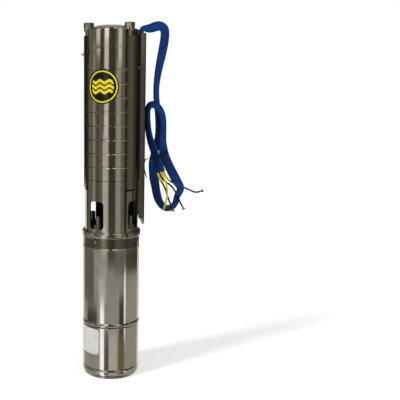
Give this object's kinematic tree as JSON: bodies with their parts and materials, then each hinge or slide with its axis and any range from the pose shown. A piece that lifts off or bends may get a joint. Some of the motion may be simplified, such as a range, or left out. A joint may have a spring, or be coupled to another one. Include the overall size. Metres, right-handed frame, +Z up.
{
  "type": "borehole submersible pump",
  "caption": "Slim borehole pump: canned stainless motor, suction cage, strapped stack of pressed stages, threaded head with check valve, cable guard and a flat lead that hangs beside it.",
  "frame": {"origin": "centre of the base's underside", "axes": "+Z up along the pump's axis; the suction windows face +X, +Y, -X and -Y; the cable guard stands between +X and +Y"},
  "size_m": [0.1704, 0.1504, 0.5951],
  "materials": {
    "polished_steel": "mirror polished",
    "brushed_steel": "bright drawn and polished",
    "cast_steel": "turned casting",
    "bright_fixings": "bright",
    "ground_steel": "ground",
    "pressed_steel": "pressed sheet",
    "laminated_steel": "stacked sheet, oiled",
    "copper_winding": "varnished copper wire",
    "carbon": "lapped carbon",
    "bearing_rubber": "moulded",
    "blue_sheath": "extruded, satin",
    "yellow_core": "extruded",
    "brown_core": "extruded",
    "blue_core": "extruded",
    "black_core": "extruded"
  },
  "bodies": {
    "root": {"base_cap": "polished_steel", "bell_screws": "bright_fixings", "cable_guard": "brushed_steel", "core_black": "black_core", "core_blue": "blue_core", "core_brown": "brown_core", "core_yellow": "yellow_core", "diaphragm": "bearing_rubber", "discharge_head": "brushed_steel", "free_lead": "blue_sheath", "guard_screws": "bright_fixings", "guarded_lead": "blue_sheath", "lead_hank": "blue_sheath", "lead_plug": "bearing_rubber", "lower_bearing_housing": "cast_steel", "lower_shell": "polished_steel", "motor_bearings": "carbon", "motor_nuts": "bright_fixings", "motor_studs": "bright_fixings", "motor_top_bell": "cast_steel", "shaft_seal": "bearing_rubber", "shell_joint_ring": "polished_steel", "stage_bowl_1": "brushed_steel", "stage_bowl_2": "brushed_steel", "stage_bowl_3": "brushed_steel", "stage_bowl_4": "brushed_steel", "stage_bowl_5": "brushed_steel", "stage_bowl_6": "brushed_steel", "stage_bowl_7": "brushed_steel", "stage_bowl_8": "brushed_steel", "stator_core": "laminated_steel", "stator_shell": "polished_steel", "stator_windings": "copper_winding", "strap_1": "brushed_steel", "strap_2": "brushed_steel", "strap_3": "brushed_steel", "strap_nuts": "bright_fixings", "suction_interconnector": "brushed_steel", "thrust_pads": "carbon", "thrust_plate": "carbon", "top_bearing": "bearing_rubber", "valve_chamber": "brushed_steel", "valve_seat": "bearing_rubber", "wear_rings": "bearing_rubber"},
    "rotor": {"thrust_disc": "ground_steel", "motor_shaft": "ground_steel", "rotor_core": "laminated_steel", "sand_slinger": "bearing_rubber", "coupling": "ground_steel", "pump_shaft": "ground_steel", "impeller_nut": "bright_fixings", "impeller_1": "pressed_steel", "impeller_2": "pressed_steel", "impeller_3": "pressed_steel", "impeller_4": "pressed_steel", "impeller_5": "pressed_steel", "impeller_6": "pressed_steel", "impeller_7": "pressed_steel", "impeller_8": "pressed_steel"},
    "valve": {"valve_disc": "ground_steel"}
  },
  "joints": [
    {"name": "shaft_spin", "type": "hinge", "parent": "root", "child": "rotor", "pos_m": [0, 0, 0.1], "axis": [0, 0, 1], "continuous": true},
    {"name": "valve_lift", "type": "slide", "parent": "root", "child": "valve", "axis": [0, 0, 1], "range_m": [0, 0.009]}
  ]
}
